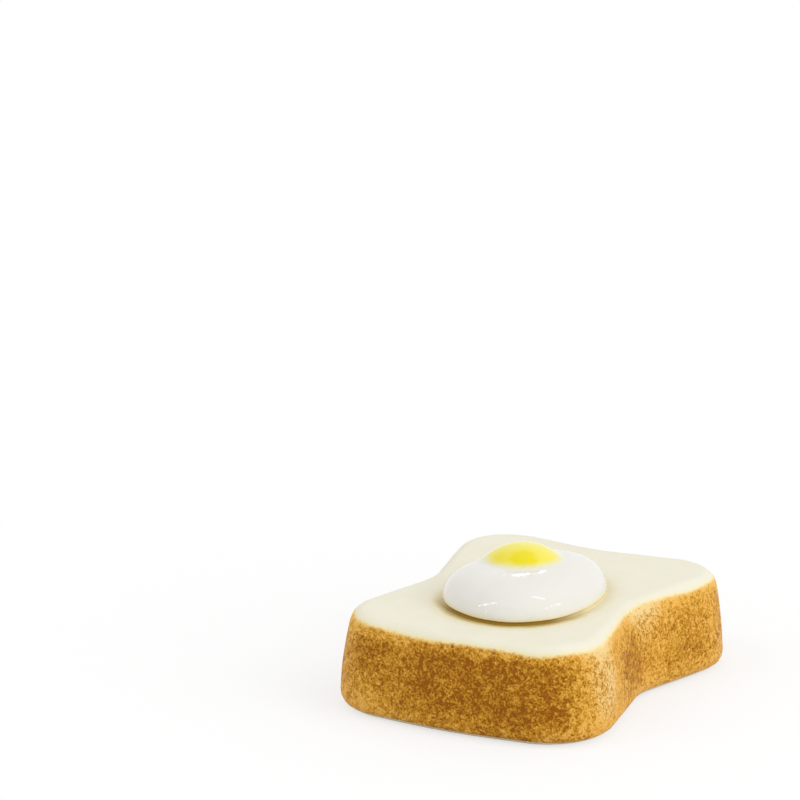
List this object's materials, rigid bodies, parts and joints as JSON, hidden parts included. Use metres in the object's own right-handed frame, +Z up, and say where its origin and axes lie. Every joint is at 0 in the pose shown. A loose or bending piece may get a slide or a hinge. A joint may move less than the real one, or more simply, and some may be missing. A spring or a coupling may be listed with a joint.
{
  "type": "chopstick rest",
  "caption": "Glazed ceramic chopstick rest shaped as a waisted slice of toast, with a domed fried egg on its crumb face to stop the tips.",
  "frame": {"origin": "middle of the slice's outline, on the surface that the rest stands on", "axes": "+Z up, +Y along the slice from its foot edge to its crown, +X across it"},
  "size_m": [0.045, 0.0566, 0.022],
  "materials": {
    "clay_body": "bare fired clay",
    "cream_glaze": "satin glaze",
    "brown_glaze": "satin speckled glaze",
    "white_glaze": "gloss glaze",
    "yellow_glaze": "gloss glaze",
    "amber_glaze": "gloss glaze"
  },
  "bodies": {
    "root": {"bread_slice": "clay_body", "crumb_glaze": "cream_glaze", "crust_glaze": "brown_glaze", "egg_white": "white_glaze", "egg_yolk": "yellow_glaze", "glaze_bead": "amber_glaze"}
  },
  "joints": []
}
